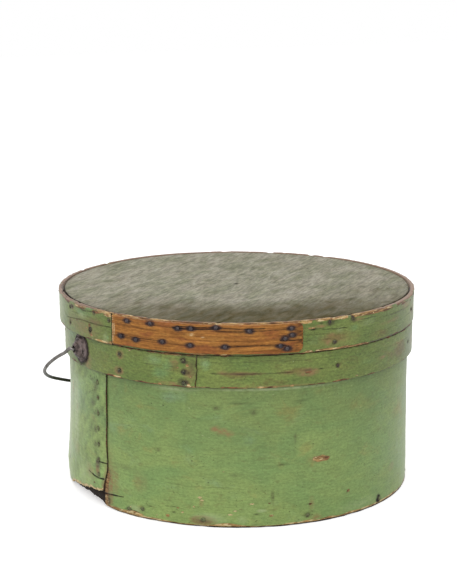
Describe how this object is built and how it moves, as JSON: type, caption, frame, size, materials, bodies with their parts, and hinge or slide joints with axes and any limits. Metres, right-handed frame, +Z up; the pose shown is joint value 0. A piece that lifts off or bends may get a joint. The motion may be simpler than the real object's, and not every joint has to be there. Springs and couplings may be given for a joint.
{
  "type": "round bentwood box with bail",
  "caption": "Round painted bentwood pantry box with nailed lapped bands, a lift-off lid and a swinging wire bail on iron ear plates.",
  "frame": {"origin": "centre of the base, on the surface that the box stands on", "axes": "+Z up through the middle of the lid, X along the bail's pivots, -Y to the front, where the bail hangs at the back"},
  "size_m": [0.5042, 0.4576, 0.2526],
  "materials": {
    "green_paint": "worn matt green paint on bent wood",
    "lid_paint": "weathered grey-green paint on a board",
    "bare_board": "bare aged pine",
    "slat_wood": "bare brown wood with iron stains",
    "nail_iron": "dark oxidised iron",
    "dark_iron": "rusted dark iron sheet",
    "steel_wire": "dull grey steel wire"
  },
  "bodies": {
    "box": {"side_wall": "green_paint", "base_board": "bare_board", "top_hoop": "green_paint", "ear_plate_left": "dark_iron", "ear_plate_right": "dark_iron", "ear_washer_left": "dark_iron", "ear_washer_right": "dark_iron", "side_lap_nails": "nail_iron", "base_nails": "nail_iron", "hoop_lap_nails": "nail_iron", "hoop_nails": "nail_iron"},
    "lid": {"lid_board": "lid_paint", "lid_rim": "green_paint", "rim_slat": "slat_wood", "rim_board_nails": "nail_iron", "rim_low_nails": "nail_iron", "slat_board_nails": "nail_iron", "slat_rim_nails": "nail_iron"},
    "bail": {"wire_bail": "steel_wire"}
  },
  "joints": [
    {"name": "lid_lift", "type": "slide", "parent": "box", "child": "lid", "axis": [0, 0, 1], "range_m": [0, 0.15]},
    {"name": "bail_swing", "type": "hinge", "parent": "box", "child": "bail", "pos_m": [0, 0, 0.1945], "axis": [1, 0, 0], "range_deg": [0, 235]}
  ]
}
